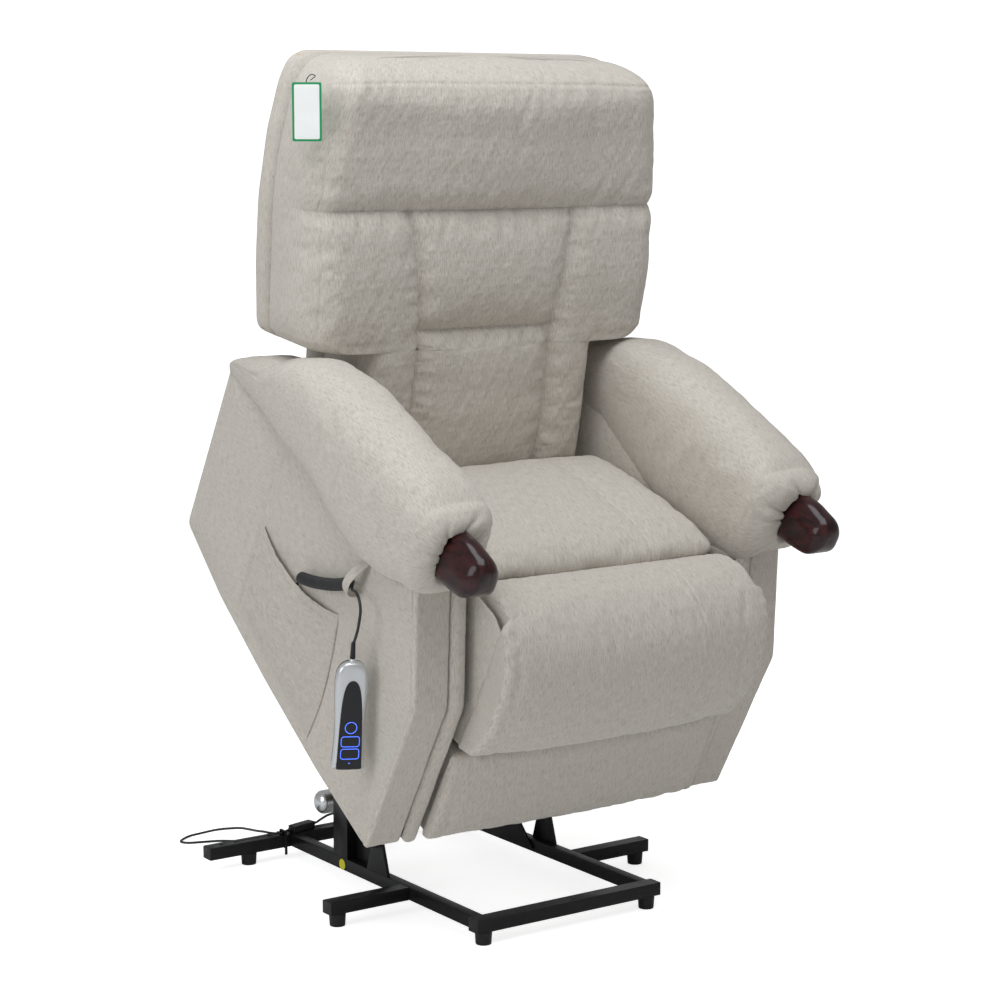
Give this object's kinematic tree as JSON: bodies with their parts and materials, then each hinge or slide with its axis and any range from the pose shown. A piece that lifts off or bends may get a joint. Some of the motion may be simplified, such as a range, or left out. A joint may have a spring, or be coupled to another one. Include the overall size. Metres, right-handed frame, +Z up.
{
  "type": "lift recliner chair",
  "caption": "Upholstered lift recliner on a steel base that raises and tilts forward; the back reclines, the legrest swings out, and a corded handset hangs at the side.",
  "frame": {"origin": "on the floor, under the middle of the raised chair's outline, 18 mm to the right of its plane of symmetry", "axes": "+Z up, the chair faces -Y, +X is to the sitter's left"},
  "size_m": [0.8627, 1.1304, 1.503],
  "materials": {
    "black_steel": "satin powder coat",
    "zinc_steel": "bright zinc plated",
    "black_plastic": "fine matte",
    "grey_plastic": "smooth pale grey",
    "silver_can": "drawn can, bright",
    "timber": "planed, unfinished",
    "cover_fabric": "slubby linen weave",
    "mahogany": "dark stain, gloss lacquer",
    "cord_rubber": "matte",
    "yellow_paper": "plain, blank",
    "tag_card": "plain printed colour, blank",
    "silver_plastic": "silver paint",
    "gloss_black": "gloss",
    "blue_button": "lit ring",
    "rocker_grey": "matte"
  },
  "bodies": {
    "base": {"base_rails": "black_steel", "base_cross_bars": "black_steel", "base_outriggers": "black_steel", "base_end_caps": "black_plastic", "base_glides": "black_plastic", "base_posts": "black_steel", "base_brackets": "black_steel", "base_pins": "zinc_steel", "rail_dot": "yellow_paper", "cable_tie": "black_plastic", "power_cord": "cord_rubber", "inline_connector": "black_plastic", "power_coil": "cord_rubber", "power_adaptor": "black_plastic"},
    "lift_arms": {"lift_frame": "black_steel"},
    "front_links": {"front_links": "black_steel"},
    "lift_actuator": {"lift_actuator_gearbox": "grey_plastic", "lift_actuator_motor": "silver_can", "lift_actuator_tube": "zinc_steel"},
    "lift_rod": {"lift_actuator_rod": "zinc_steel"},
    "seat_unit": {"chassis_side_plates": "black_steel", "chassis_cross_rails": "black_steel", "chassis_pins": "zinc_steel", "seat_side_rails": "timber", "timber_rails": "timber", "seat_springs": "zinc_steel", "seat_cushion": "cover_fabric", "control_box": "black_plastic", "arm_right_outer_panel": "cover_fabric", "arm_left_outer_panel": "cover_fabric", "arm_right_inner_panel": "cover_fabric", "arm_left_inner_panel": "cover_fabric", "arm_right_pad": "cover_fabric", "arm_left_pad": "cover_fabric", "arm_fronts": "cover_fabric", "arm_knuckles": "mahogany", "side_pocket": "cover_fabric", "cord_strap": "cover_fabric", "legrest_hinge_brackets": "black_steel", "handset_curly_cord": "cord_rubber"},
    "back": {"back_brackets": "black_steel", "back_board": "timber", "back_cushion": "cover_fabric", "back_rear_panel": "cover_fabric", "swing_tag": "tag_card"},
    "recline_actuator": {"recline_actuator": "black_plastic"},
    "recline_rod": {"recline_rod": "zinc_steel"},
    "legrest": {"legrest_board": "timber", "legrest_pad": "cover_fabric", "legrest_panel": "cover_fabric", "legrest_side_plates": "black_steel"},
    "legrest_cranks": {"legrest_torque_tube": "black_steel"},
    "legrest_rods": {"legrest_rods": "black_steel"},
    "handset": {"handset_front_shell": "silver_plastic", "handset_back_shell": "black_plastic", "handset_face_plate": "gloss_black", "handset_lead": "cord_rubber"},
    "round_button": {"handset_round_button": "blue_button"},
    "upper_rocker": {"handset_upper_rocker": "rocker_grey"},
    "lower_rocker": {"handset_lower_rocker": "rocker_grey"}
  },
  "joints": [
    {"name": "lift", "type": "hinge", "parent": "base", "child": "lift_arms", "pos_m": [0.018, 0.256, 0.229], "axis": [1, 0, 0], "range_deg": [0, 28.38]},
    {"name": "seat_tilt", "type": "hinge", "parent": "lift_arms", "child": "seat_unit", "pos_m": [0.018, -0.08198, 0.3367], "axis": [1, 0, 0], "range_deg": [-58.4, 0]},
    {"name": "front_link_swing", "type": "hinge", "parent": "base", "child": "front_links", "pos_m": [0.018, 0.131, 0.106], "axis": [1, 0, 0], "range_deg": [0, 32.6]},
    {"name": "lift_actuator_pivot", "type": "hinge", "parent": "base", "child": "lift_actuator", "pos_m": [-0.004, 0.431, 0.095], "axis": [1, 0, 0], "range_deg": [0, 9.7]},
    {"name": "lift_rod_slide", "type": "slide", "parent": "lift_actuator", "child": "lift_rod", "axis": [0, -0.9718, 0.2358], "range_m": [-0.0506, 0]},
    {"name": "back_recline", "type": "hinge", "parent": "seat_unit", "child": "back", "pos_m": [0.018, 0.18101, 0.63519], "axis": [1, 0, 0], "range_deg": [-35, 0]},
    {"name": "recline_actuator_pivot", "type": "hinge", "parent": "seat_unit", "child": "recline_actuator", "pos_m": [0.098, -0.0971, 0.41689], "axis": [1, 0, 0], "range_deg": [-1.9, 0]},
    {"name": "recline_rod_slide", "type": "slide", "parent": "recline_actuator", "child": "recline_rod", "axis": [0, 0.9027, 0.4303], "range_m": [-0.0506, 0]},
    {"name": "legrest_extend", "type": "hinge", "parent": "seat_unit", "child": "legrest", "pos_m": [0.018, -0.33584, 0.5504], "axis": [1, 0, 0], "range_deg": [-80, 0]},
    {"name": "legrest_crank", "type": "hinge", "parent": "seat_unit", "child": "legrest_cranks", "pos_m": [0.018, -0.05683, 0.56715], "axis": [1, 0, 0], "range_deg": [-80.1, 0]},
    {"name": "legrest_rod_hinge", "type": "hinge", "parent": "legrest_cranks", "child": "legrest_rods", "pos_m": [0.018, 0.01915, 0.49555], "axis": [1, 0, 0], "range_deg": [0, 80.1]},
    {"name": "handset_swing", "type": "hinge", "parent": "seat_unit", "child": "handset", "pos_m": [-0.387, -0.15, 0.625], "axis": [1, 0, 0], "range_deg": [-25, 25]},
    {"name": "round_button_press", "type": "slide", "parent": "handset", "child": "round_button", "axis": [0.342, 0.9335, 0.108], "range_m": [0, 0.001], "stiffness_N_per_m": 400, "springref_m": -0.0005},
    {"name": "upper_rocker_tilt", "type": "hinge", "parent": "handset", "child": "upper_rocker", "pos_m": [-0.40576, -0.17004, 0.38219], "axis": [0.9397, -0.3398, -0.0393], "range_deg": [-3, 3], "stiffness_Nm_per_rad": 0.06},
    {"name": "lower_rocker_tilt", "type": "hinge", "parent": "handset", "child": "lower_rocker", "pos_m": [-0.40576, -0.16762, 0.36133], "axis": [0.9397, -0.3398, -0.0393], "range_deg": [-3, 3], "stiffness_Nm_per_rad": 0.06}
  ],
  "couplings": [
    {"joint": "seat_tilt", "follows": "lift", "ratio": -2.057},
    {"joint": "front_link_swing", "follows": "lift", "ratio": 1.1448},
    {"joint": "lift_actuator_pivot", "follows": "lift", "ratio": 0.33861},
    {"joint": "lift_rod_slide", "follows": "lift", "m_per_rad": -0.10174},
    {"joint": "recline_actuator_pivot", "follows": "back_recline", "ratio": 0.050753},
    {"joint": "recline_rod_slide", "follows": "back_recline", "m_per_rad": 0.082518},
    {"joint": "legrest_crank", "follows": "legrest_extend", "ratio": 1},
    {"joint": "legrest_rod_hinge", "follows": "legrest_extend", "ratio": -1}
  ]
}
